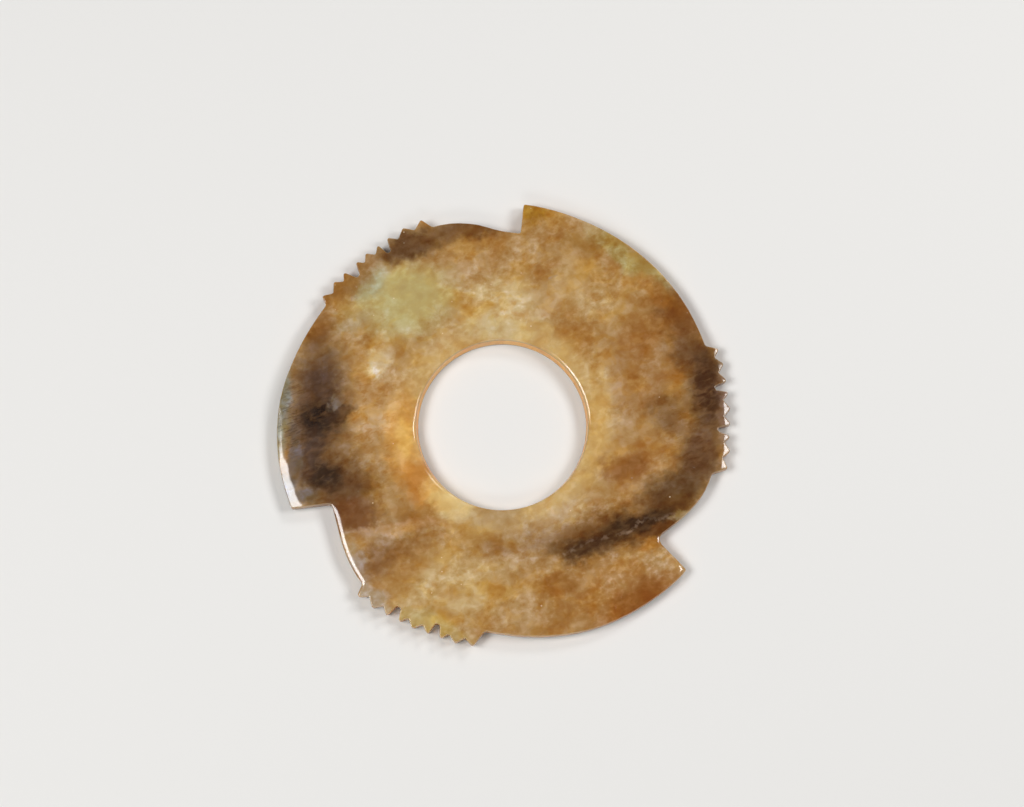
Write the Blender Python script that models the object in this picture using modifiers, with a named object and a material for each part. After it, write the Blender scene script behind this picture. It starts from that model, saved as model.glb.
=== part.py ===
"""Jade notched disc: a flat ring of stone, cut and ground in one piece.

Three lobes follow each other clockwise round the hole. Each one starts at a hook, runs along a long rim,
carries a crest of nine small teeth in three groups, and falls along a neck into the notch of the next hook.
Angles are degrees, counter-clockwise from +X as seen from above.
"""

import math

import bmesh
import bpy
from mathutils import Matrix, Vector

MM = 0.001

# Stone
DISC_RADIUS = 64.0 * MM  # the circle that the rim was laid out on
THICKNESS = 5.0 * MM  # between the flat parts of both faces
FLAT_MARGIN = 9.0 * MM  # from the deepest notch inwards to where the faces start to thin
THINNING = 0.6 * MM  # that each face has lost at the disc radius
EDGE_ROUND = 0.3 * MM  # rounding of every arris

# Hole, drilled down from the upper face
HOLE_RADIUS = 24.4 * MM
HOLE_TAPER = 0.45 * MM  # less radius at the underside

# Teeth, the same on all three crests
GROUP_SIZE = 3  # teeth between two slots
TOOTH_DEPTH = 2.1 * MM
SLOT_DEPTH = 3.9 * MM
SLOT_WIDTH = 1.1 * MM  # across its bottom
GULLET_ROUND = 0.3 * MM
SLOT_ROUND = 0.5 * MM
CREST_ROOT_ROUND = 1.2 * MM

# Facet ground on the upper face of the hook at the left. The line where it leaves the face starts at the
# flank of the hook and runs out at the rim, each given as an angle and a radius.
FACET_START = (202.2, 61.4 * MM)
FACET_END = (188.6, 63.0 * MM)
FACET_SLOPE = math.radians(12)

# Corner rounding that is left on the faces, inside the rounded arris
TIP_LAND = 0.25 * MM
HOOK_LAND = 0.25 * MM

# Lobes, clockwise. A place on the outline is an angle and a height, in hundredths of the disc radius
# outwards from it. Heights without an angle are evenly spaced between their neighbours.
LOBES = (
    {
        "hook": (84.6, 1.2),
        "rim": (0.0, -0.55, -1.25),
        "crest_start": (21.5, -2.5),
        "first_tooth": 19.6,
        "tooth_steps": (3.9, 4.5, 2.8, 4.2, 4.1, 2.9, 3.7, 4.5),
        "tip_heights": (2.75, 2.05, 2.05),
        "gullet_share": 0.45,
        "crest_end": (-13.2, -4.5),
        "neck": (-5.8, -8.7, -12.2),
        "notch": (-36.7, -15.1),
        "notch_round": 2.0 * MM,
    },
    {
        "hook": (-38.4, 3.8),
        "rim": (1.6, -1.05, -4.75),
        "crest_start": (-94.7, -8.0),
        "first_tooth": -97.5,
        "tooth_steps": (4.5, 4.1, 3.2, 4.3, 3.9, 3.4, 4.2, 4.8),
        "tip_heights": (-0.75, -1.35, -0.45),
        "gullet_share": 0.5,
        "crest_end": (-131.1, -6.4),
        "neck": (-8.6, -11.6, -14.7),
        "notch": (-154.9, -16.7),
        "notch_round": 1.0 * MM,
    },
    {
        "hook": (-158.1, 0.3),
        "rim": (0.3, -0.6, -2.9),
        "crest_start": (-214.6, -4.4),
        "first_tooth": -215.9,
        "tooth_steps": (4.8, 3.6, 4.1, 3.4, 3.9, 2.9, 4.9, 5.1),
        "tip_heights": (-0.25, -0.65, 0.65),
        "gullet_share": 0.5,
        "crest_end": (-250.8, -4.5),
        "neck": (-5.6, -8.1, -11.5),
        "notch": (-275.3, -12.5),
        "notch_round": 0.5 * MM,
    },
)

# Facets
RIM_STEPS = 24
NECK_STEPS = 10
CORNER_STEPS = 3
EDGE_STEPS = 2
CIRCLE_STEPS = 96

# How much of a straight side one rounded corner may take
SHARE_OF_SHARED_SIDE = 0.45
SHARE_OF_OWN_SIDE = 0.9

SHARP_ANGLE = math.radians(35)
CUTTER_OVERRUN = 2.0 * MM  # of the drill, above and below the stone
GRINDER_OVERRUN = 15.0 * MM  # of the grinder, past both ends of its line and out past the rim
MERGE_DISTANCE = 0.00001

NEPHRITE_COLOUR = (0.50, 0.27, 0.09, 1.0)
NEPHRITE_ROUGHNESS = 0.22


def polar(angle, radius):
    turn = math.radians(angle)
    return Vector((radius * math.cos(turn), radius * math.sin(turn)))


def radius_at(height):
    """The radius of a height given in hundredths of the disc radius."""
    return DISC_RADIUS * (1 + height / 100)


def smooth(values, share):
    """A smooth curve through evenly spaced values, read at a share from 0 to 1."""
    place = share * (len(values) - 1)
    index = min(int(place), len(values) - 2)
    t = place - index
    start = values[index]
    end = values[index + 1]
    slope_in = (end - values[max(index - 1, 0)]) / 2
    slope_out = (values[min(index + 2, len(values) - 1)] - start) / 2
    rise = end - start
    bend = 3 * rise - 2 * slope_in - slope_out
    twist = slope_in + slope_out - 2 * rise
    return start + t * (slope_in + t * (bend + t * twist))


def sweep(start, heights, end, steps):
    """Points between two places of the outline, on a smooth curve through the heights between them."""
    values = (start[1], *heights, end[1])
    for step in range(1, steps):
        share = step / steps
        angle = start[0] + share * (end[0] - start[0])
        yield polar(angle, radius_at(smooth(values, share))), 0.0


def crest(lobe):
    """The corners of one row of teeth, each with its rounding. A slot parts one group from the next."""
    steps = lobe["tooth_steps"]
    angle = lobe["first_tooth"]
    for tooth in range(len(steps) + 1):
        tip_radius = radius_at(smooth(lobe["tip_heights"], tooth / len(steps)))
        yield polar(angle, tip_radius), EDGE_ROUND + TIP_LAND
        if tooth == len(steps):
            return
        gullet = angle - steps[tooth] * lobe["gullet_share"]
        if (tooth + 1) % GROUP_SIZE:
            yield polar(gullet, tip_radius - TOOTH_DEPTH), GULLET_ROUND
        else:
            bottom = polar(gullet, tip_radius - SLOT_DEPTH)
            aside = bottom.orthogonal().normalized() * SLOT_WIDTH / 2
            yield bottom + aside, SLOT_ROUND
            yield bottom - aside, SLOT_ROUND
        angle -= steps[tooth]


def corners():
    """Every point of the outline, clockwise, with the radius that rounds it."""
    for lobe in LOBES:
        yield polar(lobe["hook"][0], radius_at(lobe["hook"][1])), EDGE_ROUND + HOOK_LAND
        yield from sweep(lobe["hook"], lobe["rim"], lobe["crest_start"], RIM_STEPS)
        yield polar(lobe["crest_start"][0], radius_at(lobe["crest_start"][1])), CREST_ROOT_ROUND
        yield from crest(lobe)
        yield polar(lobe["crest_end"][0], radius_at(lobe["crest_end"][1])), CREST_ROOT_ROUND
        yield from sweep(lobe["crest_end"], lobe["neck"], lobe["notch"], NECK_STEPS)
        yield polar(lobe["notch"][0], radius_at(lobe["notch"][1])), lobe["notch_round"]


def corner_arc(corner, radius, before, after):
    """The arc that rounds a corner. Each neighbour comes as its offset and the share of it to use at most."""
    to_before, before_share = before
    to_after, after_share = after
    half = to_before.angle(to_after) / 2
    room = min(to_before.length * before_share, to_after.length * after_share)
    reach = min(radius / math.tan(half), room)
    towards_centre = (to_before.normalized() + to_after.normalized()).normalized()
    centre = corner + towards_centre * reach / math.cos(half)
    start = (corner + to_before.normalized() * reach - centre).normalized()
    end = (corner + to_after.normalized() * reach - centre).normalized()
    for step in range(CORNER_STEPS + 1):
        yield centre + start.slerp(end, step / CORNER_STEPS) * reach * math.tan(half)


def outline():
    """The rim as a closed clockwise loop of points, with its corners rounded."""
    points = list(corners())
    loop = []
    for index, (corner, radius) in enumerate(points):
        if not radius:
            loop.append(corner)
            continue
        sides = []
        for neighbour, its_radius in (points[index - 1], points[(index + 1) % len(points)]):
            share = SHARE_OF_SHARED_SIDE if its_radius else SHARE_OF_OWN_SIDE
            sides.append((neighbour - corner, share))
        loop.extend(corner_arc(corner, radius, *sides))
    return loop


def inset(loop, distance):
    """A clockwise loop moved inwards by the same distance all round."""
    moved = []
    for index, point in enumerate(loop):
        ahead = (loop[(index + 1) % len(loop)] - point).normalized()
        behind = (point - loop[index - 1]).normalized()
        inwards = Vector((ahead.y, -ahead.x))
        middle = (inwards + Vector((behind.y, -behind.x))).normalized()
        moved.append(point + middle * distance / middle.dot(inwards))
    return moved


def edge_stations():
    """A rounded arris as steps of (distance in from the wall, drop below the face), from wall to face."""
    for step in range(EDGE_STEPS + 1):
        turn = math.pi / 2 * step / EDGE_STEPS
        yield EDGE_ROUND * (1 - math.cos(turn)), EDGE_ROUND * (1 - math.sin(turn))


def closed_loop(bm, points, height_at):
    """A closed loop of edges, each point at the height that its radius gives."""
    verts = [bm.verts.new((p.x, p.y, height_at(p.length))) for p in points]
    return [bm.edges.new((a, b)) for a, b in zip(verts, verts[1:] + verts[:1])]


def flat_radius(rim):
    return min(p.length for p in rim) - FLAT_MARGIN


def face_over(rim):
    """The height of the upper face above the middle plane, as a function of the radius."""
    flat = flat_radius(rim)
    slope = THINNING / (DISC_RADIUS - flat)
    return lambda radius: THICKNESS / 2 - slope * max(0.0, radius - flat)


def upper_half(rim):
    """The half of the stone above its middle plane, open at that plane and not yet drilled."""
    face = face_over(rim)
    bm = bmesh.new()
    loops = [closed_loop(bm, rim, lambda radius: 0.0)]
    for distance, drop in edge_stations():
        loops.append(closed_loop(bm, inset(rim, distance), lambda radius, drop=drop: face(radius) - drop))
    for lower, upper in zip(loops, loops[1:]):
        bmesh.ops.bridge_loops(bm, edges=lower + upper)

    steps = (-360 * step / CIRCLE_STEPS for step in range(CIRCLE_STEPS))
    flat_edge = closed_loop(bm, [polar(angle, flat_radius(rim)) for angle in steps], face)
    bmesh.ops.triangle_fill(bm, use_beauty=True, edges=loops[-1] + flat_edge)
    bmesh.ops.contextual_create(bm, geom=flat_edge)

    bmesh.ops.recalc_face_normals(bm, faces=bm.faces)
    mesh = bpy.data.meshes.new("notched_disc")
    bm.to_mesh(mesh)
    bm.free()
    mesh.shade_smooth()
    mesh.set_sharp_from_angle(angle=SHARP_ANGLE)
    return mesh


def drill_profile():
    """Half the section of the hole, from its axis above the stone, down its wall, to its axis below."""
    edge = list(edge_stations())
    edge.append((2 * edge[-1][0] - edge[-2][0], 2 * edge[-1][1] - edge[-2][1]))
    top = THICKNESS / 2
    profile = [(0.0, top + CUTTER_OVERRUN), (HOLE_RADIUS + edge[-1][0], top + CUTTER_OVERRUN)]
    profile += [(HOLE_RADIUS + distance, top - drop) for distance, drop in reversed(edge)]
    lower_radius = HOLE_RADIUS - HOLE_TAPER
    profile += [(lower_radius + distance, drop - top) for distance, drop in edge]
    profile += [(lower_radius + edge[-1][0], -top - CUTTER_OVERRUN), (0.0, -top - CUTTER_OVERRUN)]
    return profile


def drill(cutters):
    """The turned cutter that leaves the hole, with its two arrises rounded."""
    points = [(radius, 0.0, height) for radius, height in drill_profile()]
    mesh = bpy.data.meshes.new("hole_drill")
    mesh.from_pydata(points, [(i, i + 1) for i in range(len(points) - 1)], [])
    cutter = bpy.data.objects.new("hole_drill", mesh)
    cutters.objects.link(cutter)
    turn = cutter.modifiers.new("turn", "SCREW")
    turn.steps = CIRCLE_STEPS
    turn.render_steps = CIRCLE_STEPS
    turn.use_merge_vertices = True
    turn.merge_threshold = MERGE_DISTANCE
    return cutter


def facet_grinder(cutters, face):
    """A block whose tilted underside grinds the facet. It stands on the outer side of the facet's line."""
    start = polar(*FACET_START)
    line = polar(*FACET_END) - start
    outwards = Vector((-line.y, line.x)).normalized()
    half_length = line.length / 2 + GRINDER_OVERRUN
    bm = bmesh.new()
    bmesh.ops.create_cube(bm, size=2.0)
    bmesh.ops.translate(bm, vec=(0.0, 1.0, 1.0), verts=bm.verts)
    bmesh.ops.scale(bm, vec=(half_length, GRINDER_OVERRUN / 2, THICKNESS / 2), verts=bm.verts)
    bmesh.ops.rotate(bm, matrix=Matrix.Rotation(-FACET_SLOPE, 3, "X"), verts=bm.verts)
    bmesh.ops.rotate(bm, matrix=Matrix.Rotation(math.atan2(-outwards.x, outwards.y), 3, "Z"), verts=bm.verts)
    middle = start + line / 2
    bmesh.ops.translate(bm, vec=(middle.x, middle.y, face(start.length)), verts=bm.verts)
    mesh = bpy.data.meshes.new("facet_grinder")
    bm.to_mesh(mesh)
    bm.free()
    grinder = bpy.data.objects.new("facet_grinder", mesh)
    cutters.objects.link(grinder)
    return grinder


def cut(disc, cutter):
    """Takes a cutter's shape out of the stone, with the cutter in the same place as the stone."""
    cutter.location = disc.location
    cutter.hide_render = True
    cutter.display_type = "WIRE"
    change = disc.modifiers.new(cutter.name, "BOOLEAN")
    change.operation = "DIFFERENCE"
    change.solver = "EXACT"
    change.object = cutter


def nephrite():
    material = bpy.data.materials.new("honey_brown_nephrite")
    material.use_nodes = True
    shader = material.node_tree.nodes["Principled BSDF"]
    shader.inputs["Base Color"].default_value = NEPHRITE_COLOUR
    shader.inputs["Roughness"].default_value = NEPHRITE_ROUGHNESS
    shader.inputs["Metallic"].default_value = 0.0
    return material


def collection(name):
    new = bpy.data.collections.new(name)
    bpy.context.scene.collection.children.link(new)
    return new


def main():
    for old in list(bpy.data.objects):
        bpy.data.objects.remove(old)
    parts = collection("jade_notched_disc")
    cutters = collection("cutters")

    rim = outline()
    across = [p.x for p in rim]
    along = [p.y for p in rim]
    centre = Vector(((min(across) + max(across)) / 2, (min(along) + max(along)) / 2))

    disc = bpy.data.objects.new("notched_disc", upper_half(rim))
    parts.objects.link(disc)
    disc.data.materials.append(nephrite())
    disc.location = (-centre.x, -centre.y, THICKNESS / 2)

    underside = disc.modifiers.new("underside", "MIRROR")
    underside.use_axis = (False, False, True)
    underside.merge_threshold = MERGE_DISTANCE
    cut(disc, drill(cutters))
    cut(disc, facet_grinder(cutters, face_over(rim)))


main()
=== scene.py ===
"""Looks of the jade notched disc: polished stone as a fine mesh, a pale floor, soft light and a camera."""
import math

import bmesh
import bpy
import numpy as np
from mathutils import Euler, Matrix, Vector, geometry, noise
from mathutils.bvhtree import BVHTree


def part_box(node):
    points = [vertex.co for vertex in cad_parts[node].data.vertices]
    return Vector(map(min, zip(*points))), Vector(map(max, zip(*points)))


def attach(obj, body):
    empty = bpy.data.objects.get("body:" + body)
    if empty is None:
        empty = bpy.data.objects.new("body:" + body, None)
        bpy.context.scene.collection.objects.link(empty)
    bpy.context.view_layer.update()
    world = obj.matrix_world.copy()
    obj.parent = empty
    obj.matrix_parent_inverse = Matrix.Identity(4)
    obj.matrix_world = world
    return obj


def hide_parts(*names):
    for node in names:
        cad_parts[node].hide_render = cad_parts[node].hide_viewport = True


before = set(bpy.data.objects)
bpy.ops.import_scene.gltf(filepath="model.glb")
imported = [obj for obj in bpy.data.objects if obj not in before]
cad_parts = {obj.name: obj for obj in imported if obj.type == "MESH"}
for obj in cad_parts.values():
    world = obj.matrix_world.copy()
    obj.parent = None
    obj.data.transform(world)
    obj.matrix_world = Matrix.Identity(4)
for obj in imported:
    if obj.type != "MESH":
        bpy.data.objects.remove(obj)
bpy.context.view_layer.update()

# Lengths below are in millimetres, and the finished mesh and the camera are scaled to metres
MM = 0.001
NODE = "notched_disc"

# Outline
DENSE_STEP = 0.06
SMOOTHING_PASSES = 12
SPACING = 0.4  # between points of the rim where it runs straight
TURN_STEP = math.radians(14)  # the rim gets a point at least this often where it turns
HAND_CUT = 0.03  # how far the rim wanders from its smooth line
HAND_CUT_SCALE = 2.5
HOLE_POINTS = 400

# Heights at which the outlines are read off the CAD solid, as shares of its thickness
LOWER_CUT = 0.3
CUTS_APART = 0.4

# Arrises, walls and faces
RIM_ARRIS = 0.22
HOLE_ARRIS = 0.35
HOLE_BEVEL = 0.8  # width of the worn edge round the hole, on both faces
HOLE_BEVEL_SLOPE = 0.38
ARRIS_SHARE_OF_ROOM = 0.8  # of the circle that fits in a tooth
ARRIS_EVENING = 0.6
ARRIS_STEPS = 5
WALL_ROWS = 4
WALL_BELLY = 0.04
SHOULDER_WIDTH = 2.0  # from the wall inwards, where the polish has worn the face down
SHOULDER_DROP = 0.06
THINNING_START = 43.0
THINNING_SLOPE = 0.034
THINNING_ONSET = 4.0
UNDULATION = 0.05
UNDULATION_SCALE = 17.0
FACES_APART = 40  # in the noise, so that the two faces undulate on their own
TAPER_REACH = 10  # from the hole outwards, over which the lower face is drawn in as the hole narrows
FINE_GRID = 0.25
FINE_BAND = 1.3  # from any edge inwards
MEDIUM_BAND = 3.2  # where the grid is twice as wide, and further in it is four times as wide
ROW_HEIGHT = math.sqrt(0.75)  # of a triangular grid, in steps
HOLE_GAP = 0.6  # between the last ring at the hole and the grid, in steps
RIM_GAP = 0.5

# Facet on the hook at the left: from a place on the flank to one on the rim, as (angle, radius)
FACET_START = (202.2, 61.4)
FACET_END = (188.6, 63.0)
FACET_SLOPE = math.radians(12)
FACET_BLEND = 0.14
FACET_WAVER = 1.1  # how far its inner line strays, each way
FACET_WAVER_SCALE = 4.5

# Bevels that round the upper face down towards the rim: from angle, to angle, width, drop at the rim, and
# the angle over which each runs out at its ends
BEVELS = (
    (203.5, 233.0, 1.9, 0.36, 7.0),  # the neck at the lower left
    (174.0, 196.0, 2.0, 0.34, 7.0),  # the rim that leads into the facet
    (-42.0, -34.0, 1.2, 0.26, 2.0),  # the hook at the lower right
)
# Worn outer ends on the upper face: from angle, to angle, radius where the wear starts, slope, run-out
WORN_TIPS = (
    (-15.5, 7.0, 62.9, 0.31, 2.0),  # the teeth at the right
    (5.0, 21.0, 63.6, 0.24, 2.0),
)
# Worn corners: angle and radius where the wear starts, the way it faces, its slope
WORN_CORNERS = ((-39.5, 64.4, 5.0, 0.31),)  # the hook at the lower right
CORNER_REACH = 2.5  # round the start of the wear
EDGE_ONSET = 0.15  # over which the worn edge of the hole steepens
TIP_ONSET = 0.5  # over which the wear of tips and corners does

# Pits in the upper face: angle, radius, width
PITS = (
    (138.7, 56.2, 0.9),
    (136.4, 57.9, 0.7),
    (-36.5, 38.6, 0.9),
    (26.4, 47.3, 0.6),
    (38.2, 58.0, 0.5),
    (-9.8, 38.6, 0.6),
    (114.0, 49.8, 0.5),
    (70.5, 41.6, 0.5),
    (-66.0, 45.2, 0.5),
    (-58.6, 60.9, 0.5),
    (164.5, 52.8, 0.5),
    (205.3, 45.1, 0.6),
    (-83.0, 50.7, 0.4),
    (-12.8, 55.7, 0.6),
)
PIT_DEPTH = 0.13
PIT_RINGS = ((0.4, 6), (0.75, 10), (1.1, 12))  # of points: share of the pit's radius, and how many
PIT_CLEAR = 0.55  # of its width, kept free of the grid, with one step more


def polar(angle, radius):
    turn = math.radians(angle)
    return Vector((radius * math.cos(turn), radius * math.sin(turn)))


def section(height):
    """The outlines of the CAD solid at a height, longest first, as counter-clockwise loops of points."""
    bm = bmesh.new()
    bm.from_mesh(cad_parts[NODE].data)
    bmesh.ops.scale(bm, vec=(1 / MM, 1 / MM, 1 / MM), verts=bm.verts)
    bmesh.ops.remove_doubles(bm, verts=bm.verts, dist=0.001)
    everything = bm.verts[:] + bm.edges[:] + bm.faces[:]
    cut = bmesh.ops.bisect_plane(bm, geom=everything, plane_co=(0, 0, height), plane_no=(0, 0, 1))
    edges = {part for part in cut["geom_cut"] if isinstance(part, bmesh.types.BMEdge)}
    loops = []
    while edges:
        first, here = edges.pop().verts
        loop = [here.co.xy]
        while here is not first:
            edge = next(e for e in here.link_edges if e in edges)
            edges.remove(edge)
            here = edge.other_vert(here)
            loop.append(here.co.xy)
        loop = np.array(loop)
        if area(loop) < 0:
            loop = loop[::-1]
        loops.append(np.roll(loop, -np.lexsort(loop.T)[-1], axis=0))
    bm.free()
    return sorted(loops, key=area, reverse=True)


def area(loop):
    after = np.roll(loop, -1, axis=0)
    return (loop[:, 0] * after[:, 1] - loop[:, 1] * after[:, 0]).sum() / 2


def outward_normals(loop):
    """Directions square to the arcs that run through each point and its two neighbours."""
    ahead = np.roll(loop, -1, axis=0) - loop
    behind = np.roll(ahead, 1, axis=0)
    along = ahead / (ahead**2).sum(axis=1)[:, None] + behind / (behind**2).sum(axis=1)[:, None]
    along /= np.linalg.norm(along, axis=1)[:, None]
    return np.stack([along[:, 1], -along[:, 0]], axis=1)


def curve_point(points, t):
    """A point between the middle two of four, on a smooth curve that keeps close to unevenly spaced ones."""
    knots = [0.0]
    for a, b in zip(points, points[1:]):
        knots.append(knots[-1] + math.sqrt(np.linalg.norm(b - a)))
    at = knots[1] + t * (knots[2] - knots[1])

    def between(a, b, i, j):
        return (a * (knots[j] - at) + b * (at - knots[i])) / (knots[j] - knots[i])

    near = [between(points[i], points[i + 1], i, i + 1) for i in range(3)]
    middle = [between(near[i], near[i + 1], i, i + 2) for i in range(2)]
    return between(middle[0], middle[1], 1, 2)


def travel(loop):
    """How far along the loop each point lies, and how long the whole loop is."""
    lengths = np.linalg.norm(np.roll(loop, -1, axis=0) - loop, axis=1)
    return np.append(0.0, np.cumsum(lengths[:-1])), lengths.sum()


def fine_loop(loop):
    """The loop again as a smooth curve with small steps, smaller where it turns."""
    count = len(loop)
    curve = []
    for i in range(count):
        four = [loop[(i + k) % count] for k in (-1, 0, 1, 2)]
        steps = math.ceil(np.linalg.norm(four[2] - four[1]) / DENSE_STEP)
        curve += [curve_point(four, step / steps) for step in range(steps)]
    curve = np.array(curve)
    along, length = travel(curve)
    dense = round(length / DENSE_STEP)
    stations = np.arange(dense) * length / dense
    curve = np.stack([np.interp(stations, along, curve[:, k], period=length) for k in (0, 1)], axis=1)
    for _ in range(SMOOTHING_PASSES):
        curve = (np.roll(curve, 1, axis=0) + 2 * curve + np.roll(curve, -1, axis=0)) / 4

    sides = np.roll(curve, -1, axis=0) - curve
    heading = np.unwrap(np.arctan2(sides[:, 1], sides[:, 0]))
    turns = np.abs(np.diff(heading, prepend=heading[-1] - 2 * np.pi))
    progress = np.cumsum(np.maximum(np.linalg.norm(sides, axis=1) / SPACING, turns / TURN_STEP))
    chosen = np.nonzero(np.diff(np.floor(progress), prepend=-1))[0]
    return curve[chosen]


def wander(loop):
    """The loop pushed in and out a little, as a hand-ground edge is."""
    normals = outward_normals(loop)
    push = [noise.noise(Vector((x, y, 0)) / HAND_CUT_SCALE) for x, y in loop]
    return loop + normals * HAND_CUT * (np.array(push)[:, None] - 1)


def inner_room(loop):
    """For each point, the radius of the circle inside the outline that touches it there."""
    normals = outward_normals(loop)
    gap = loop[None] - loop[:, None]
    inwards = -(gap * normals[:, None]).sum(axis=2)
    square = (gap**2).sum(axis=2)
    radius = np.where(inwards > 1e-6, square / np.maximum(2 * inwards, 1e-6), np.inf)
    return radius.min(axis=1)


def even_out(values, loop, reach):
    """The lowest value within reach of each point along a loop, then the mean of those within reach."""
    along, length = travel(loop)
    apart = np.abs(along[None] - along[:, None])
    near = np.minimum(apart, length - apart) < reach
    lowest = np.where(near, values[None], np.inf).min(axis=1)
    return (near * lowest[None]).sum(axis=1) / near.sum(axis=1)


def arris_drop(inset, size):
    """How far a rounded arris lies below the face, at an inset from the wall."""
    beyond = np.clip(size - inset, 0, None)
    return size - np.sqrt(np.clip(size**2 - beyond**2, 0, None))


def soft_min(a, b, blend):
    share = np.clip(0.5 + 0.5 * (b - a) / blend, 0, 1)
    return b + (a - b) * share - blend * share * (1 - share)


def softened(ramp_up, onset):
    """A ramp that starts without a crease."""
    return ramp_up**2 / (ramp_up + onset)


def fade(angles, start, end, run_out):
    """One between two angles, falling to nought over a short way inside both."""
    middle = (start + end) / 2
    away = np.abs((angles - middle + 180) % 360 - 180)
    share = np.clip(((end - start) / 2 - away) / run_out, 0, 1)
    return share * share * (3 - 2 * share)


class Stone:
    """The measured stone: where its hole is, how wide, and how high each face lies over any place."""

    def __init__(self):
        low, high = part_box(NODE)
        self.thickness = (high.z - low.z) / MM
        self.rim, lower_hole = section(LOWER_CUT * self.thickness)
        upper_hole = section((LOWER_CUT + CUTS_APART) * self.thickness)[-1]
        self.axis = upper_hole.mean(axis=0)
        lower, upper = (np.linalg.norm(h - self.axis, axis=1).mean() for h in (lower_hole, upper_hole))
        self.taper = (upper - lower) / CUTS_APART
        self.hole_radius = (upper + lower) / 2 + self.taper / 2
        self.rim = wander(fine_loop(self.rim - self.axis))
        turns = 2 * np.pi * np.arange(HOLE_POINTS) / HOLE_POINTS
        self.hole = self.hole_radius * np.stack([np.cos(turns), np.sin(turns)], axis=1)
        self.wall = self.edge_wall()

    def edge_wall(self):
        """The rim as an upright band, to measure distances from."""
        count = len(self.rim)
        verts = [Vector((x, y, z)) for z in (-1, 1) for x, y in self.rim]
        quads = [(i, (i + 1) % count, (i + 1) % count + count, i + count) for i in range(count)]
        return BVHTree.FromPolygons(verts, quads)

    def from_rim(self, places):
        return np.array([self.wall.find_nearest(Vector((x, y, 0)))[3] for x, y in places])

    def face_height(self, places, from_edge, side):
        """Height over the middle plane of the upper face (side 1) or the lower one (side -1)."""
        radius = np.linalg.norm(places, axis=1)
        thinned = np.clip(radius - THINNING_START, 0, None)
        height = self.thickness / 2 - THINNING_SLOPE * thinned**2 / (thinned + THINNING_ONSET)
        worn = np.clip(1 - from_edge / SHOULDER_WIDTH, 0, 1)
        height -= SHOULDER_DROP * worn**2
        over_bevel = np.clip(self.hole_radius + HOLE_BEVEL - radius, 0, None)
        height -= HOLE_BEVEL_SLOPE * softened(over_bevel, EDGE_ONSET)
        waves = [noise.noise(Vector((x, y, FACES_APART * side)) / UNDULATION_SCALE) for x, y in places]
        height -= UNDULATION * (1 + np.array(waves)) / 2
        if side > 0:
            height -= self.worn_away(places, from_edge)
            height = soft_min(height, self.facet_height(places), FACET_BLEND)
            for angle, distance, width in PITS:
                apart = np.linalg.norm(places - np.array(polar(angle, distance)), axis=1)
                height -= PIT_DEPTH * width * np.clip(1 - (2 * apart / width) ** 2, 0, None) ** 2
        return height

    def worn_away(self, places, from_edge):
        """How much of the upper face the bevels and the worn tips take."""
        angle = np.degrees(np.arctan2(places[:, 1], places[:, 0]))
        radius = np.linalg.norm(places, axis=1)
        worn = np.zeros(len(places))
        for start, end, width, drop, run_out in BEVELS:
            across = np.clip(1 - from_edge / width, 0, 1)
            worn += drop * across**2 * fade(angle, start, end, run_out)
        for start, end, start_radius, slope, run_out in WORN_TIPS:
            beyond = np.clip(radius - start_radius, 0, None)
            worn += slope * softened(beyond, TIP_ONSET) * fade(angle, start, end, run_out)
        for start_angle, start_radius, facing, slope in WORN_CORNERS:
            offset = places - np.array(polar(start_angle, start_radius))
            beyond = np.clip(offset @ np.array(polar(facing, 1)), 0, None)
            worn += slope * softened(beyond, TIP_ONSET) * (np.linalg.norm(offset, axis=1) < CORNER_REACH)
        return worn

    def facet_height(self, places):
        """Height of the ground facet's plane, which falls away outside its line."""
        start = np.array(polar(*FACET_START))
        line = np.array(polar(*FACET_END)) - start
        outwards = np.array((-line[1], line[0])) / np.linalg.norm(line)
        level = self.thickness / 2 - THINNING_SLOPE * (FACET_START[1] - THINNING_START)
        stray = np.array([noise.noise(Vector((x, y, 0)) / FACET_WAVER_SCALE) for x, y in places])
        beyond = (places - start) @ outwards + FACET_WAVER * stray
        return level - math.tan(FACET_SLOPE) * beyond


def hex_grid(reach, step):
    """Points of a triangular grid, each with the widest grid that it belongs to, in steps."""
    rows = int(reach / (step * ROW_HEIGHT)) + 1
    columns = int(reach / step) + 1
    row, column = np.mgrid[-rows : rows + 1, -columns : columns + 1]
    places = np.stack([(column + (row % 2) / 2) * step, row * step * ROW_HEIGHT], axis=-1)
    level = np.ones(row.shape, int)
    for every in (2, 4):
        level[(row % every == 0) & ((column + row // 2) % every == 0)] = every
    return places.reshape(-1, 2), level.ravel()


def pit_points():
    """Rings of points round each pit, so that the mesh can follow it."""
    points = []
    for angle, radius, width in PITS:
        centre = polar(angle, radius)
        points.append(centre)
        for share, count in PIT_RINGS:
            points += [centre + polar(360 * i / count, share * width / 2) for i in range(count)]
    return np.array(points)


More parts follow.
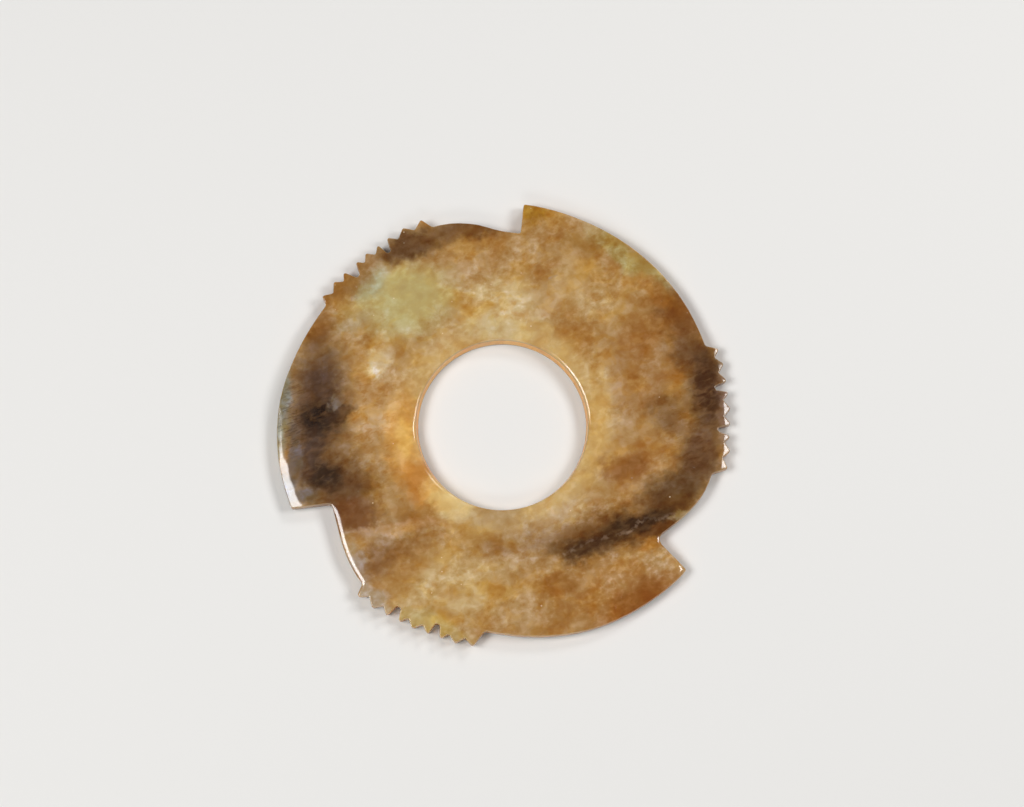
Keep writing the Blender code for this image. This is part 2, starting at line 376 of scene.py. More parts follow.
class Layout:
    """The plan of one face: arris rings along rim and hole, and triangles between the innermost two."""

    def __init__(self, stone):
        base = stone.rim - outward_normals(stone.rim) * WALL_BELLY
        room = inner_room(base)
        size = even_out(np.minimum(RIM_ARRIS, ARRIS_SHARE_OF_ROOM * room), base, ARRIS_EVENING)
        inwards = -outward_normals(base)
        self.rims = []
        self.holes = []
        outwards = stone.hole / stone.hole_radius
        for step in range(ARRIS_STEPS + 1):
            share = 1 - math.cos(math.pi / 2 * step / ARRIS_STEPS)
            inset = size * share
            self.rims.append((base + inwards * inset[:, None], arris_drop(inset, size), inset))
            inset = np.full(len(stone.hole), HOLE_ARRIS * share)
            self.holes.append((stone.hole + outwards * inset[:, None], arris_drop(inset, HOLE_ARRIS), inset))
        self.fill(stone)

    def fill(self, stone):
        """Adds the points inside the last rings and the triangles that join them all."""
        grid, level = hex_grid(np.abs(stone.rim).max(), FINE_GRID)
        from_hole = np.linalg.norm(grid, axis=1) - stone.hole_radius
        from_disc = np.linalg.norm(stone.rim, axis=1).max() - stone.hole_radius - from_hole
        near = (from_hole > HOLE_ARRIS + HOLE_GAP * FINE_GRID) & (from_disc > 0)
        grid, level, from_hole = grid[near], level[near], from_hole[near]
        inside = in_polygon(grid, self.rims[-1][0])
        grid, level, from_hole = grid[inside], level[inside], from_hole[inside]
        from_rim = stone.from_rim(grid)
        nearest = np.minimum(from_rim, from_hole)
        wanted = (nearest < FINE_BAND) | ((nearest < MEDIUM_BAND) & (level > 1)) | (level > 2)
        keep = (from_rim > RIM_ARRIS + RIM_GAP * FINE_GRID) & wanted
        pits = pit_points()
        clear = np.ones(len(grid), bool)
        for angle, radius, width in PITS:
            apart = np.linalg.norm(grid - np.array(polar(angle, radius)), axis=1)
            clear &= apart > PIT_CLEAR * width + FINE_GRID
        self.inner = np.concatenate([grid[keep & clear], pits])
        self.inner_edge = np.minimum(
            stone.from_rim(self.inner), np.linalg.norm(self.inner, axis=1) - stone.hole_radius
        )
        rim, hole = self.rims[-1][0], self.holes[-1][0]
        places = np.concatenate([rim, hole, self.inner])
        edges = ring_edges(0, len(rim)) + ring_edges(len(rim), len(hole))
        verts, _, faces, origins, _, _ = geometry.delaunay_2d_cdt(
            [Vector(p) for p in places], edges, [], 1, 1e-5
        )
        source = [o[0] for o in origins]
        hole_ring = range(len(rim), len(rim) + len(hole))
        self.triangles = []
        for face in faces:
            corners = [source[i] for i in face]
            if any(corner not in hole_ring for corner in corners):  # the others fill the hole
                self.triangles.append(corners)


def ring_edges(start, count):
    return [(start + i, start + (i + 1) % count) for i in range(count)]


def in_polygon(places, loop):
    """Which places lie inside a loop, by counting the sides that a line to the right crosses."""
    inside = np.zeros(len(places), bool)
    x, y = places.T
    for (x0, y0), (x1, y1) in zip(loop, np.roll(loop, -1, axis=0)):
        if y0 == y1:
            continue
        spans = (y0 > y) != (y1 > y)
        inside ^= spans & (x < x0 + (y - y0) * (x1 - x0) / (y1 - y0))
    return inside


def stone_mesh(stone):
    """The whole stone as one closed mesh: two faces with their arrises, and the walls of rim and hole."""
    layout = Layout(stone)
    verts, edge_distance, faces = [], [], []
    first_rings = {}
    for side in (1, -1):
        rim_starts, hole_starts = [], []
        for rings, starts in ((layout.rims, rim_starts), (layout.holes, hole_starts)):
            for places, drop, inset in rings:
                starts.append(sum(len(v) for v in verts))
                add_row(stone, verts, edge_distance, places, drop, inset, side)
        inner_start = sum(len(v) for v in verts)
        add_row(stone, verts, edge_distance, layout.inner, 0, layout.inner_edge, side)
        rim_count, hole_count = len(stone.rim), len(stone.hole)
        for a, b in zip(rim_starts, rim_starts[1:]):
            faces += band(a, b, rim_count, side > 0)
        for a, b in zip(hole_starts, hole_starts[1:]):
            faces += band(a, b, hole_count, side < 0)
        index = np.concatenate(
            [
                rim_starts[-1] + np.arange(rim_count),
                hole_starts[-1] + np.arange(hole_count),
                inner_start + np.arange(len(layout.inner)),
            ]
        )
        for triangle in layout.triangles:
            corners = [int(index[i]) for i in triangle]
            faces.append(corners if side > 0 else corners[::-1])
        first_rings[side] = (rim_starts[0], hole_starts[0])

    flat = np.concatenate(verts)
    for which, count, outwards in ((0, len(stone.rim), True), (1, len(stone.hole), False)):
        top = first_rings[1][which]
        bottom = first_rings[-1][which]
        upper, lower = flat[top : top + count], flat[bottom : bottom + count]
        normals = outward_normals(upper[:, :2]) if outwards else np.zeros((count, 2))
        rows = [top]
        for row in range(1, WALL_ROWS + 1):
            share = row / (WALL_ROWS + 1)
            wall = upper * (1 - share) + lower * share
            wall[:, :2] += normals * WALL_BELLY * 4 * share * (1 - share)
            rows.append(sum(len(v) for v in verts))
            verts.append(wall)
            edge_distance.append(np.full(count, -min(share, 1 - share) * stone.thickness))
        rows.append(bottom)
        for a, b in zip(rows, rows[1:]):
            faces += band(b, a, count, outwards)

    points = np.concatenate(verts)
    points[:, :2] += stone.axis
    points[:, 2] += stone.thickness / 2
    mesh = bpy.data.meshes.new("jade_disc")
    mesh.from_pydata((points * MM).tolist(), [], faces)
    edge = mesh.attributes.new("from_edge", "FLOAT", "POINT")
    edge.data.foreach_set("value", np.concatenate(edge_distance).astype(np.float32))
    mesh.validate()
    mesh.shade_smooth()
    return mesh


def add_row(stone, verts, edge_distance, places, drop, from_edge, side):
    """Adds points of one face. The lower face's are drawn in round the hole, as the hole narrows."""
    height = stone.face_height(places, from_edge, side) - drop
    if side < 0:
        radius = np.linalg.norm(places, axis=1)
        near = np.clip(1 - (radius - stone.hole_radius) / TAPER_REACH, 0, 1)
        places = places * (1 - stone.taper * near / radius)[:, None]
    verts.append(np.column_stack([places, side * height]))
    edge_distance.append(np.broadcast_to(from_edge, len(places)).astype(float))


def band(a, b, count, forwards):
    """Quads between two rings of points."""
    quads = []
    for i in range(count):
        j = (i + 1) % count
        quad = (a + i, a + j, b + j, b + i)
        quads.append(quad if forwards else quad[::-1])
    return quads


# Shader building


def add(tree, kind, wires=(), **settings):
    """A node with its settings. Wires gives inputs, by name or number, a value or another node's output."""
    node = tree.nodes.new(kind)
    for name, value in settings.items():
        setattr(node, name, value)
    for name, value in dict(wires).items():
        if isinstance(value, bpy.types.NodeSocket):
            tree.links.new(value, node.inputs[name])
        else:
            node.inputs[name].default_value = value
    return node


def maths(tree, operation, a, b=0.0):
    return add(tree, "ShaderNodeMath", {0: a, 1: b}, operation=operation).outputs[0]


def vector(tree, operation, a, b):
    return add(tree, "ShaderNodeVectorMath", {0: a, 1: b}, operation=operation).outputs[0]


def stretched(tree, place, turn, size):
    """A place measured along a turned pair of axes, each in its own unit."""
    wires = {"Vector": place, "Rotation": (0, 0, math.radians(turn)), "Scale": (*size, 1)}
    return add(tree, "ShaderNodeMapping", wires, vector_type="TEXTURE").outputs[0]


def ramp(tree, value, low, high, to_low=0.0, to_high=1.0):
    """Turns a range of a value into another range, smoothly."""
    wires = {"Value": value, "From Min": low, "From Max": high, "To Min": to_low, "To Max": to_high}
    return add(tree, "ShaderNodeMapRange", wires, interpolation_type="SMOOTHSTEP").outputs["Result"]


def mix(tree, share, a, b, blend="MIX"):
    wires = {0: share, 6: a, 7: b}
    return add(tree, "ShaderNodeMix", wires, data_type="RGBA", blend_type=blend).outputs[2]


def fuzz(tree, place, scale, detail=3.0, roughness=0.55, distortion=0.0):
    """Noise over a place in millimetres, with features about one scale apart."""
    wires = {"Vector": place, "Scale": 1 / scale, "Detail": detail}
    wires |= {"Roughness": roughness, "Distortion": distortion}
    return add(tree, "ShaderNodeTexNoise", wires)


def colour(red, green, blue):
    """A colour as it looks on a screen, from 0 to 255, in the linear values that shaders take."""
    shares = (value / 255 for value in (red, green, blue))
    return (*((s / 12.92 if s < 0.04 else ((s + 0.055) / 1.055) ** 2.4) for s in shares), 1.0)


def new_group(name, inputs, outputs):
    """A shader node group with named sockets. Gives the tree, its inputs and its output node."""
    tree = bpy.data.node_groups.new(name, "ShaderNodeTree")
    for socket, kind in inputs:
        tree.interface.new_socket(socket, in_out="INPUT", socket_type=kind)
    for socket, kind in outputs:
        tree.interface.new_socket(socket, in_out="OUTPUT", socket_type=kind)
    return tree, tree.nodes.new("NodeGroupInput").outputs, tree.nodes.new("NodeGroupOutput")


def shares_of_oval(tree, given):
    """How far a place lies from an oval's centre, as shares of its half length and half width."""
    offset = vector(tree, "SUBTRACT", given["Place"], given["Centre"])
    dots = [
        add(tree, "ShaderNodeVectorMath", {0: offset, 1: given[axis]}, operation="DOT_PRODUCT")
        for axis in ("Along", "Across")
    ]
    return [dot.outputs["Value"] for dot in dots]


OVAL_INPUTS = [
    ("Place", "NodeSocketVector"),
    ("Centre", "NodeSocketVector"),
    ("Along", "NodeSocketVector"),
    ("Across", "NodeSocketVector"),
    ("Strength", "NodeSocketFloat"),
]


def cloud_group():
    """An oval patch with a soft edge, measured in millimetres."""
    inputs = OVAL_INPUTS + [("Core", "NodeSocketFloat")]
    tree, given, result = new_group("cloud", inputs, [("Mask", "NodeSocketFloat")])
    squares = [maths(tree, "MULTIPLY", share, share) for share in shares_of_oval(tree, given)]
    far = maths(tree, "SQRT", maths(tree, "ADD", *squares))
    inside = ramp(tree, far, 1.0, given["Core"])
    tree.links.new(maths(tree, "MULTIPLY", inside, given["Strength"]), result.inputs["Mask"])
    return tree


def vein_and_glint_group():
    """A thin line of a given length and width, measured in millimetres."""
    tree, given, result = new_group("vein", OVAL_INPUTS, [("Mask", "NodeSocketFloat")])
    along, across = (maths(tree, "ABSOLUTE", share) for share in shares_of_oval(tree, given))
    ends, sides = ramp(tree, along, 1.0, VEIN_AND_GLINT_CORE[0]), ramp(tree, across, 1.0, VEIN_AND_GLINT_CORE[1])
    line = maths(tree, "MULTIPLY", ends, sides)
    tree.links.new(maths(tree, "MULTIPLY", line, given["Strength"]), result.inputs["Mask"])
    return tree


def oval(place, centre, size, turn, strength):
    """The inputs of a cloud or vein, from its centre, half length and half width, and turn in degrees."""
    return {
        "Place": place,
        "Centre": (*centre, 0),
        "Along": (*(polar(turn, 1) / size[0]), 0),
        "Across": (*(polar(turn + 90, 1) / size[1]), 0),
        "Strength": strength,
    }


GROUND_COLOUR = (172, 134, 82)
# Swirls that make the clouds ragged: their size, and how far they move a place
RAGGEDNESS = ((11, 7.0), (3.5, 4.6), (1.2, 2.0))
CLOUD_CORE = 0.3  # share of a cloud's radius inside which it is full

# Colour clouds of the stone, laid in this order. Each has a name, its centre from the hole's axis, its half
# length and half width, its turn in degrees, its colour, and how strongly it covers.
CLOUDS = (
    ("pale field, top", (-1, 36), (17, 10), 0, (202, 174, 120), 0.8),
    ("tan field, upper right", (25, 39), (17, 12), -30, (182, 146, 90), 0.8),
    ("brown field, right", (39, 16), (14, 21), 0, (162, 121, 74), 0.8),
    ("tan field, lower right", (39, -13), (14, 11), 0, (168, 124, 70), 0.8),
    ("beige field, bottom", (-15, -47), (26, 14), 5, (192, 160, 104), 0.85),
    ("brown field, lower left", (-29, -33), (13, 11), 25, (150, 114, 70), 0.7),
    ("tan field, left", (-36, 7), (13, 17), 0, (184, 146, 96), 0.8),
    ("tan field, below the hole", (5, -31), (21, 8), 8, (152, 122, 90), 0.75),
    ("tan field, bottom right", (28, -48), (21, 12), 25, (162, 116, 60), 0.8),
    ("amber, left of the hole", (-28, -3), (8, 19), 0, (205, 151, 74), 0.85),
    ("amber, lower left of the hole", (-24, -16), (10, 8.5), -40, (186, 121, 44), 0.85),
    ("yellow below it", (-15, -22), (10, 6), -25, (222, 196, 140), 0.85),
    ("green patch", (-28, 36), (20, 15), 8, (190, 176, 120), 0.9),
    ("grey green corner", (-37.5, 41), (7.5, 5.5), 30, (172, 164, 124), 0.85),
    ("brown band, upper left", (-26, 52.5), (17, 6.3), 22, (86, 52, 19), 0.94),
    ("brown top rim", (-9, 57.5), (15, 5), -2, (108, 72, 38), 0.9),
    ("orange crest, upper left", (-44, 42), (14, 7), 42, (144, 102, 50), 0.9),
    ("orange rim, left", (-53, 27), (9, 6), 60, (130, 80, 20), 0.85),
    ("pale blotch, upper left", (-43, 30), (7, 5), 30, (168, 142, 98), 0.75),
    ("pale blotch, left", (-35, 18), (6, 6), 0, (212, 190, 150), 0.8),
    ("dark field, left", (-52, 7), (13, 29), 0, (96, 68, 44), 0.95),
    ("dark field, left hook", (-46, -17), (14, 14), 0, (96, 66, 40), 0.9),
    ("dark band over the cores", (-51, 10), (6, 9), 10, (74, 50, 33), 0.85),
    ("black core, upper left", (-52, 1.5), (9, 7), 10, (32, 17, 6), 0.9),
    ("arm of the black core", (-46, 3), (6.5, 3), 25, (68, 44, 24), 0.8),
    ("dark bridge between the cores", (-53, -7), (5, 8), 10, (66, 45, 31), 0.85),
    ("black core, lower left", (-50, -14.5), (8, 6.5), 25, (44, 27, 14), 0.9),
    ("grey puff by the cores", (-47.7, 6), (3.4, 2.4), 40, (124, 108, 86), 0.75),
    ("red brown by the facet", (-55, -11), (4, 9), 10, (86, 62, 46), 0.75),
    # Painted reflection: a lilac veil of the lights on the polished rim by the facet
    ("painted lilac reflection by the facet", (-58.5, -8), (3.6, 15), 8, (106, 98, 96), 0.8),
    ("green rim, left", (-63.5, 8), (4.6, 22), 0, (124, 118, 96), 0.9),
    # This and the next two are painted reflection: the grey and lilac grey of the lights on the facet and
    # the rim over it
    ("painted grey reflection on the rim over the facet", (-64, -5), (3.4, 8), 0, (158, 158, 144), 0.85),
    ("painted grey reflection on the facet", (-61, -18), (5, 9), 12, (104, 100, 98), 0.85),
    ("painted lilac grey reflection by the facet", (-55, -21), (5.5, 4), -10, (112, 99, 88), 0.9),
    ("red brown notch", (-42, -26), (11, 8), -10, (104, 58, 16), 0.9),
    ("lilac brown, lower left", (-35, -38), (9, 7), 20, (132, 94, 58), 0.75),
    # This and the next are painted sheen: the pale lilac reflection of the lights on the worn neck and its
    # first tooth
    ("painted lilac sheen along the neck", (-42, -39), (4.2, 12), 28, (166, 146, 126), 0.8),
    ("painted pale sheen, first tooth at the lower left", (-37, -49), (7, 5), -30, (176, 160, 138), 0.8),
    ("olive crest, bottom", (-21, -58), (18, 6), -22, (178, 150, 88), 0.85),
    ("gold hook, top", (9, 61), (7, 4.5), -10, (160, 112, 22), 0.9),
    ("orange below the top rim", (24, 53), (10, 5), -20, (146, 100, 30), 0.7),
    ("yellow green rim, upper right", (37.5, 48), (21, 5.5), -40, (172, 154, 98), 0.9),
    ("orange field, upper right", (51, 33), (13, 11), -60, (110, 62, 12), 0.9),
    ("lilac brown, right", (52, 21), (8, 8), 0, (102, 67, 36), 0.8),
    ("dark field, right", (58, 10), (9, 19), 6, (70, 42, 23), 0.95),
    ("dark field, lower right", (56, -9), (9, 14), 0, (88, 54, 28), 0.9),
    ("lilac tan teeth, right", (64, 3), (4.5, 19), 0, (132, 102, 80), 0.8),
    ("olive patch, right", (47, 3), (8, 9), 0, (116, 85, 56), 0.75),
    ("orange patch, right", (35, -12), (10, 6), 0, (136, 86, 37), 0.8),
    ("olive shade", (48, -20), (14, 9), 20, (76, 46, 18), 0.85),
    ("pale patches over the streak", (21, -25), (9, 5), 10, (186, 160, 126), 0.65),
    ("orange brown round the streak", (30, -31), (27, 9), 17, (104, 62, 10), 0.85),
    ("dark streak, lower", (24, -34.6), (14, 4.6), 13, (62, 38, 16), 0.85),
    ("dark streak, upper", (39, -28), (16, 4.8), 18, (48, 28, 9), 0.9),
    ("orange under the streak", (46, -30.5), (9, 4.5), 30, (94, 52, 4), 0.95),
    ("gold by the notch", (42.5, -34), (4.5, 3), 20, (172, 116, 42), 0.7),
    ("green patch by the notch", (50, -26.2), (6.5, 1.6), 20, (152, 136, 98), 0.6),
    ("orange rim, lower right", (38, -50.5), (19, 7), 33, (134, 76, 14), 0.85),
    ("pale honey over the hole", (0, 28), (17, 6), 0, (200, 178, 132), 0.7),
    ("honey, right of the hole", (27.5, 0), (5, 15), 0, (196, 153, 82), 0.85),
    ("honey, under the hole", (-2, -26.5), (13, 4), 0, (172, 142, 100), 0.7),
    ("orange, upper right", (44, 38), (9, 4), -40, (160, 108, 40), 0.6),
    ("gold, bottom", (17, -56), (12, 4), 12, (150, 102, 42), 0.7),
    # The next two are painted highlights: a bright amber glow on the face by the hole's edge
    ("painted amber highlight, left of the hole", (-27, -4), (3.5, 7), 0, (238, 194, 104), 0.45),
    ("painted amber highlight, lower left of the hole", (-20, -17.5), (3.5, 8), -48, (232, 188, 110), 0.4),
    ("pale band, lower left", (-29, -29.5), (18, 3), 6, (196, 158, 114), 0.55),
    ("brown dashes, bottom", (16, -45), (9, 4), 15, (144, 92, 28), 0.75),
)
FIELDS = 9  # how many of these clouds lie under the pale honey ring round the hole
RING = ((0, 0), (36, 36), 0, 0.75, 0.72)  # as a cloud with its core
RING_COLOUR = (205, 172, 112)

# How each effect below follows its noise: where it starts, where it is full, and its share at both ends
BROWN_RANGE = (0.5, 0.32, 0.0)
CREAM_RANGE = (0.5, 0.62, 0.0)
FINEST_RANGE = (0.4, 0.58, 0.35, 1.25)  # the finest mottling lies in patches
WARM_RANGE = (0.5, 0.34, 0.0, 0.75)
COOL_RANGE = (0.5, 0.66, 0.0, 0.6)
AMBER_RANGE = (0.5, 0.36, 0.0, 0.5)
PUFF_RANGE = (0.46, 0.7)
SMOKE_RANGE = (0.42, 0.74)
FIBRE_RANGE = (0.5, 0.36)
HAIR_RANGE = (0.5, 0.62)
VEIN_AND_GLINT_RANGE = (0.4, 0.62)
ROUGHNESS = (0.3, 0.7, 0.12, 0.2)

# Turn and stretch of what is drawn out
GRAIN = (20, (1.15, 1.0))
WISP_GRAIN = (24, (1.6, 0.8))
HAIR_GRAIN = (20, (3.2, 0.55))

# Cloudy mottling: size of its features, detail, how far it swirls, share of brown, share of cream
MOTTLING = (
    (9.0, 3, 0.3, 0.75, 0.6),
    (3.6, 3, 0.4, 0.6, 0.6),
    (1.5, 3, 0.2, 0.4, 0.45),
)
BROWN_GAIN = (0.82, 0.63, 0.34, 1.0)
CREAM_GAIN = (1.2, 1.32, 1.7, 1.0)
WARM_GAIN = (1.05, 0.94, 0.55, 1.0)
COOL_GAIN = (0.99, 1.02, 1.08, 1.0)

# Places of the effects, as clouds without a colour
CALM = ((-27, 37), (19, 14), 8, 0.6)  # the smooth part of the green patch
CALM_RING = ((0, 0), (34, 34), 0, 0.45, 0.78)  # the smoother stone round the hole, with its core
SMOKE = (  # pale wisps that cross the dark parts
    ((-49, -5), (18, 24), 0, 0.36),
    ((54, 2), (14, 26), 0, 0.5),
    ((32, -30), (26, 11), 17, 0.25),
    ((-24, 53), (22, 9), 20, 0.3),
)
FIBRES = (  # brown ones that reach out of them
    ((-42, 0), (20, 24), 0, 0.65),
    ((52, 4), (14, 28), 0, 0.6),
    ((30, -30), (30, 12), 17, 0.7),
)
PUFFS = ((34, -37), (34, 20), 20, 0.6)  # small pale puffs that lie thick
HAIRS = ((-60.5, 2), (6, 18), 0, 0.5)  # fine dark hairs that run in from the rim at the left
SMOKE_COLOUR = (138, 100, 62)
HAIR_GAIN = colour(150, 132, 122)

# Painted glints: tiny pale flecks, in about one cell out of eight
GLINT_FLECK_CELL = 2.8
GLINT_FLECK_RADIUS = (0.1, 0.04)  # in cells, where a fleck starts and is full
GLINT_FLECK_CHOICE = (0.8, 0.95)  # in the cells' random values
GLINT_FLECK_STRENGTH = 0.75
GLINT_FLECK_COLOUR = (238, 218, 184)

VEIN_AND_GLINT_COLOUR = (168, 140, 114)
VEIN_AND_GLINT_CORE = (0.6, 0.1)  # shares of its length and width over which each vein and glint is full
VEIN_AND_GLINT_SWAY = (5, 3)  # size of its bends, and how far they move it
ARRIS_HIGHLIGHT_COLOUR = (192, 168, 126)  # painted highlight along the thin arrises, fading down the walls
ARRIS_HIGHLIGHT_RANGE = (0.3, 0.0, 0.0, 0.5)  # from the edge inwards
WALL_GLOW_GAIN = (1.45, 1.08, 0.42, 1.0)  # painted glow that makes the walls brighter and warmer than the faces
WALL_RANGE = (0.0, -0.6)  # from the edge down the wall
WALL_ROUGHNESS = 0.2  # on top of the faces'

# Pale veins in the dark streak, a pale streak in the face and two painted glints: centre, half length and
# half width, turn, strength
VEINS_AND_GLINTS = (
    ((20, -36), (7.5, 0.9), 24, 0.26),
    ((31, -31.6), (7, 1.0), 17, 0.26),
    ((38, -28.7), (4.5, 0.8), 33, 0.36),
    ((47, -26.4), (6.5, 1.0), 8, 0.3),
    ((14.3, 42.8), (2.0, 0.5), 25, 0.8),
    # The last two are painted glints: small pale marks of caught light in the face
    ((-42.9, 36.1), (0.8, 0.3), 90, 0.9),
    ((36.6, -15.5), (0.8, 0.4), 80, 0.9),
)


def nephrite(axis):
    material = bpy.data.materials.new("polished_nephrite")
    material.use_nodes = True
    tree = material.node_tree
    tree.nodes.clear()

    where = add(tree, "ShaderNodeTexCoord").outputs["Object"]
    millimetres = vector(tree, "MULTIPLY", where, (1 / MM, 1 / MM, 1 / MM))
    place = vector(tree, "SUBTRACT", millimetres, (*axis, 0))
    ragged = place
    for scale, reach in RAGGEDNESS:
        wobble = fuzz(tree, place, scale).outputs["Color"]
        centred = vector(tree, "SUBTRACT", wobble, (0.5, 0.5, 0.5))
        ragged = vector(tree, "ADD", ragged, vector(tree, "MULTIPLY", centred, (reach, reach, 0)))

    group = cloud_group()

    def patch(centre, size, turn, strength, core=CLOUD_CORE):
        """The mask of one ragged cloud."""
        wires = {**oval(ragged, centre, size, turn, strength), "Core": core}
        return add(tree, "ShaderNodeGroup", wires, node_tree=group).outputs["Mask"]

    def patches(several):
        """The mask of a few clouds together."""
        total = patch(*several[0])
        for one in several[1:]:
            total = maths(tree, "MAXIMUM", total, patch(*one))
        return total

    def gained(body, share, gain):
        """The body colour, multiplied by a gain where the share is one."""
        return mix(tree, share, body, mix(tree, 1.0, body, gain, blend="MULTIPLY"))

    body = colour(*GROUND_COLOUR)
    for _, centre, size, turn, tint, strength in CLOUDS[:FIELDS]:
        body = mix(tree, patch(centre, size, turn, strength), body, colour(*tint))
    body = mix(tree, patch(*RING), body, colour(*RING_COLOUR))
    for _, centre, size, turn, tint, strength in CLOUDS[FIELDS:]:
        body = mix(tree, patch(centre, size, turn, strength), body, colour(*tint))

    # Cloudy mottling, drawn out a little along the grain of the stone
    grain = stretched(tree, place, *GRAIN)
    calm_body = body
    layers = []
    spread = 1.0
    for scale, detail, swirl, brown, cream in MOTTLING:
        layer = fuzz(tree, grain, scale, detail=detail, roughness=0.5, distortion=swirl).outputs
        browned = maths(tree, "MULTIPLY", ramp(tree, layer["Fac"], *BROWN_RANGE, brown), spread)
        body = gained(body, browned, BROWN_GAIN)
        creamed = maths(tree, "MULTIPLY", ramp(tree, layer["Fac"], *CREAM_RANGE, cream), spread)
        body = gained(body, creamed, CREAM_GAIN)
        layers.append(layer)
        if len(layers) == len(MOTTLING) - 1:
            hue = add(tree, "ShaderNodeSeparateColor", {0: layers[0]["Color"]}).outputs
            spread = ramp(tree, hue["Blue"], *FINEST_RANGE)
    body = gained(body, ramp(tree, hue["Green"], *WARM_RANGE), WARM_GAIN)
    body = gained(body, ramp(tree, hue["Green"], *COOL_RANGE), COOL_GAIN)
    amber = add(tree, "ShaderNodeSeparateColor", {0: layers[1]["Color"]}).outputs["Green"]
    body = gained(body, ramp(tree, amber, *AMBER_RANGE), WARM_GAIN)
    body = mix(tree, patches((CALM, CALM_RING)), body, calm_body)
    puffs = maths(tree, "MULTIPLY", patch(*PUFFS), ramp(tree, layers[2]["Fac"], *PUFF_RANGE))
    body = gained(body, puffs, CREAM_GAIN)

    # Pale and brown wisps in and round the dark parts, and dark hairs at the rim at the left
    wisps = fuzz(tree, stretched(tree, place, *WISP_GRAIN), 2.0, detail=4, distortion=0.5).outputs["Fac"]
    smoke = maths(tree, "MULTIPLY", patches(SMOKE), ramp(tree, wisps, *SMOKE_RANGE))
    body = mix(tree, smoke, body, colour(*SMOKE_COLOUR))
    fibres = maths(tree, "MULTIPLY", patches(FIBRES), ramp(tree, wisps, *FIBRE_RANGE))
    body = gained(body, fibres, BROWN_GAIN)
    hairs = fuzz(tree, stretched(tree, place, *HAIR_GRAIN), 0.8).outputs["Fac"]
    hair = maths(tree, "MULTIPLY", patch(*HAIRS), ramp(tree, hairs, *HAIR_RANGE))
    body = gained(body, hair, HAIR_GAIN)

    vein = vein_and_glint_group()
    bends, sway = VEIN_AND_GLINT_SWAY
    wavy = vector(tree, "SUBTRACT", fuzz(tree, place, bends).outputs["Color"], (0.5, 0.5, 0.5))
    bent = vector(tree, "ADD", place, vector(tree, "MULTIPLY", wavy, (sway, sway, 0)))
    # Veins, and painted glints drawn the same way
    for centre, size, turn, strength in VEINS_AND_GLINTS:
        wires = oval(bent, centre, size, turn, strength)
        line = add(tree, "ShaderNodeGroup", wires, node_tree=vein).outputs["Mask"]
        broken = maths(tree, "MULTIPLY", line, ramp(tree, layers[2]["Fac"], *VEIN_AND_GLINT_RANGE))
        body = mix(tree, broken, body, colour(*VEIN_AND_GLINT_COLOUR))

    # Painted glints: tiny pale flecks of caught light, scattered at random
    cells = add(tree, "ShaderNodeTexVoronoi", {"Vector": place, "Scale": 1 / GLINT_FLECK_CELL}).outputs
    random = add(tree, "ShaderNodeSeparateColor", {0: cells["Color"]}).outputs["Red"]
    spot, chosen = ramp(tree, cells["Distance"], *GLINT_FLECK_RADIUS), ramp(tree, random, *GLINT_FLECK_CHOICE)
    glint_fleck = maths(tree, "MULTIPLY", maths(tree, "MULTIPLY", spot, chosen), GLINT_FLECK_STRENGTH)
    body = mix(tree, glint_fleck, body, colour(*GLINT_FLECK_COLOUR))

    edge = add(tree, "ShaderNodeAttribute", attribute_name="from_edge").outputs["Fac"]
    wall = ramp(tree, edge, *WALL_RANGE)
    # Painted highlight: a pale line mixed into the colour along the arrises of rim and hole
    arris = maths(tree, "MULTIPLY", ramp(tree, edge, *ARRIS_HIGHLIGHT_RANGE), maths(tree, "SUBTRACT", 1.0, wall))
    body = mix(tree, arris, body, colour(*ARRIS_HIGHLIGHT_COLOUR))
    # Painted glow: the walls brightened and warmed in their colour
    body = gained(body, wall, WALL_GLOW_GAIN)

    roughness = ramp(tree, layers[1]["Fac"], *ROUGHNESS)
    roughness = maths(tree, "ADD", roughness, maths(tree, "MULTIPLY", wall, WALL_ROUGHNESS))
    relief_wires = {"Strength": 0.08, "Distance": 0.0002, "Height": layers[1]["Fac"]}
    wires = {
        "Base Color": body,
        "Roughness": roughness,
        "Normal": add(tree, "ShaderNodeBump", relief_wires).outputs[0],
        "IOR": 1.61,
        "Subsurface Weight": 0.4,
        "Subsurface Radius": (1.0, 0.65, 0.3),
        "Subsurface Scale": 0.0012,
        "Coat Weight": 0.2,
        "Coat Roughness": 0.05,
    }
    shader = add(tree, "ShaderNodeBsdfPrincipled", wires)
    add(tree, "ShaderNodeOutputMaterial", {"Surface": shader.outputs[0]})
    return material


FLOOR_DROP = 0.0001  # in metres, so that the disc never cuts through the floor


def pale_floor():
    bpy.ops.mesh.primitive_plane_add(size=6, location=(0, 0, -FLOOR_DROP))
    floor = bpy.context.object
    floor.name = "pale_floor"
    material = bpy.data.materials.new("pale_floor")
    material.use_nodes = True
    shader = material.node_tree.nodes["Principled BSDF"]
    shader.inputs["Base Color"].default_value = (0.78, 0.77, 0.75, 1)
    shader.inputs["Roughness"].default_value = 0.8
    floor.data.materials.append(material)


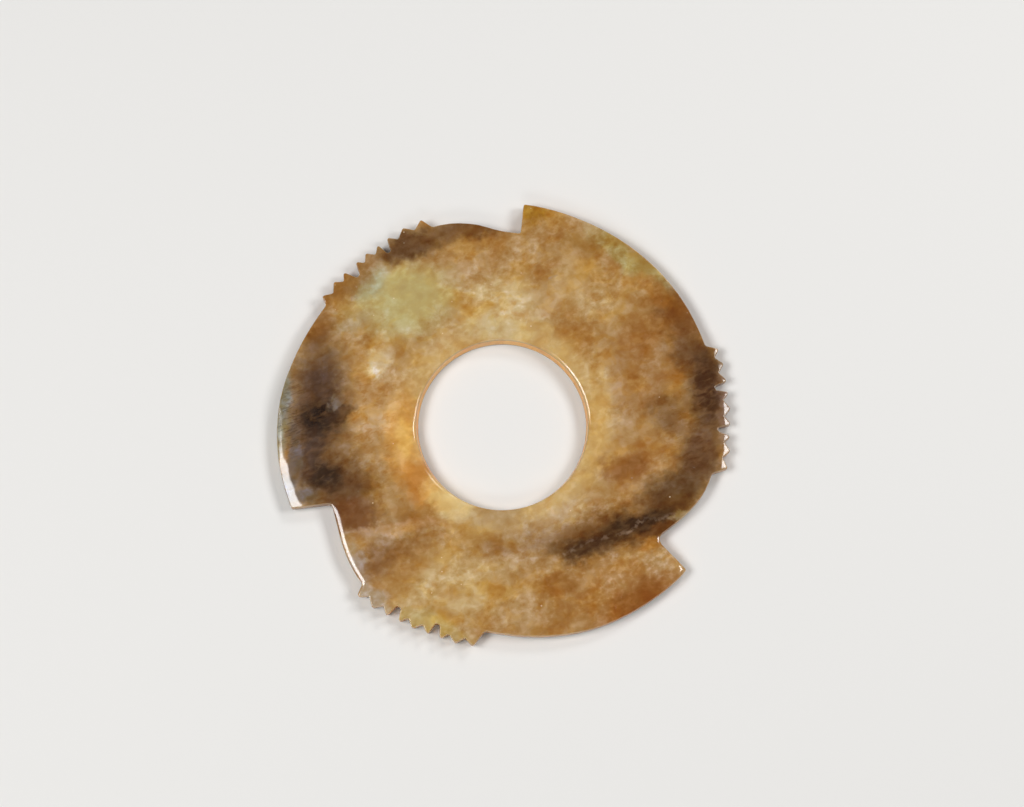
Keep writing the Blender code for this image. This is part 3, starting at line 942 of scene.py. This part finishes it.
def soft_light(name, place, size, power):
    """A softbox turned towards the middle of the disc."""
    light = bpy.data.lights.new(name, "AREA")
    light.shape = "RECTANGLE"
    light.size, light.size_y = size
    light.energy = power
    lamp = bpy.data.objects.new(name, light)
    lamp.location = place
    lamp.rotation_euler = (Vector() - Vector(place)).to_track_quat("-Z", "Y").to_euler()
    bpy.context.scene.collection.objects.link(lamp)


def studio():
    soft_light("left_softbox", (-0.6, -0.11, 0.95), (0.5, 0.42), 7.6)
    soft_light("right_softbox", (0.74, 0.13, 0.8), (0.36, 0.34), 4.4)
    soft_light("upper_right_softbox", (0.5, 0.66, 0.72), (0.26, 0.26), 2.4)
    soft_light("front_softbox", (0.0, -0.9, 0.8), (0.6, 0.3), 1.9)
    world = bpy.data.worlds.new("studio")
    world.use_nodes = True
    world.node_tree.nodes["Background"].inputs["Color"].default_value = (1, 1, 1, 1)
    world.node_tree.nodes["Background"].inputs["Strength"].default_value = 0.1
    bpy.context.scene.world = world


CAMERA_DISTANCE = 812.7
CAMERA_TILT = math.radians(10)
CAMERA_AIM = (2.8, 6.9)  # from the hole's axis, on the floor
CAMERA_LENS = 100
CAMERA_SENSOR = 36


def camera(axis):
    lens = bpy.data.cameras.new("camera")
    lens.lens = CAMERA_LENS
    lens.sensor_width = CAMERA_SENSOR
    eye = bpy.data.objects.new("camera", lens)
    aim = Vector((axis[0] + CAMERA_AIM[0], axis[1] + CAMERA_AIM[1], 0))
    back = Vector((0, -math.sin(CAMERA_TILT), math.cos(CAMERA_TILT)))
    eye.location = (aim + back * CAMERA_DISTANCE) * MM
    eye.rotation_euler = Euler((CAMERA_TILT, 0, 0))
    bpy.context.scene.collection.objects.link(eye)
    bpy.context.scene.camera = eye


stone = Stone()
disc = bpy.data.objects.new("jade_disc", stone_mesh(stone))
bpy.context.scene.collection.objects.link(disc)
disc.data.materials.append(nephrite(stone.axis))
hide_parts(NODE)
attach(disc, "root")

pale_floor()
studio()
camera(stone.axis)
bpy.context.scene.view_settings.view_transform = "Standard"
